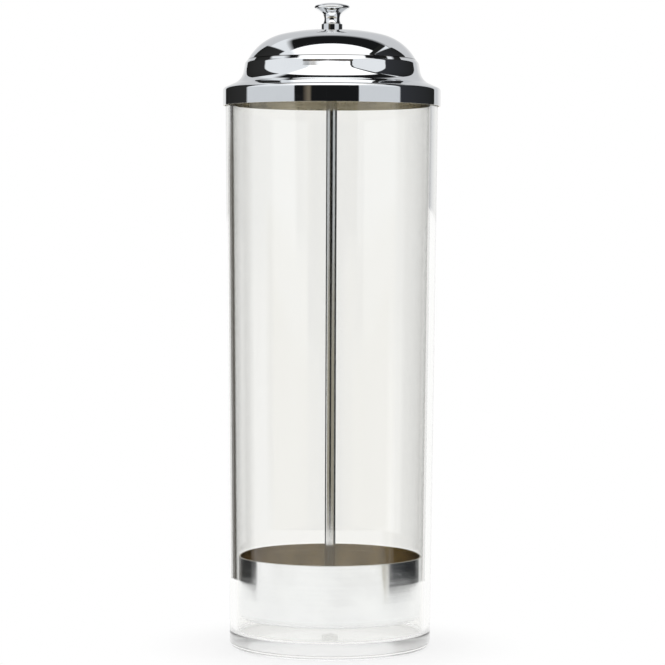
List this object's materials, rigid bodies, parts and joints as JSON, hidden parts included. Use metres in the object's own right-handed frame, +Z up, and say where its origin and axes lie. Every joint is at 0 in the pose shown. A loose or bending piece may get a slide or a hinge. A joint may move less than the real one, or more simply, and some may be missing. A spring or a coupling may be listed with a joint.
{
  "type": "straw dispenser",
  "caption": "Tall clear drafted jar with a domed lift-off lid. A rod below the lid's knob carries a shallow cup that raises the straws out of the jar.",
  "frame": {"origin": "centre of the jar's underside", "axes": "+Z up the jar's axis, about which the object is round; -Y faces the picture's viewer"},
  "size_m": [0.095, 0.095, 0.2816],
  "materials": {
    "clear_jar": "clear, polished",
    "chrome_lid": "mirror",
    "chrome_knob": "mirror",
    "plated_rod": "polished",
    "polished_cup": "polished, faint drawing lines",
    "plated_fastener": "bright plated"
  },
  "bodies": {
    "jar": {"jar": "clear_jar"},
    "lift": {"lid_shell": "chrome_lid", "lid_knob": "chrome_knob", "lift_rod": "plated_rod", "straw_cup": "polished_cup", "lid_washer": "plated_fastener", "lid_lock_washer": "plated_fastener", "lid_nut": "plated_fastener", "cup_top_washer": "plated_fastener", "cup_bottom_washer": "plated_fastener", "cup_nut": "plated_fastener"}
  },
  "joints": [
    {"name": "lid_lift", "type": "slide", "parent": "jar", "child": "lift", "axis": [0, 0, 1], "range_m": [0, 0.24]}
  ]
}
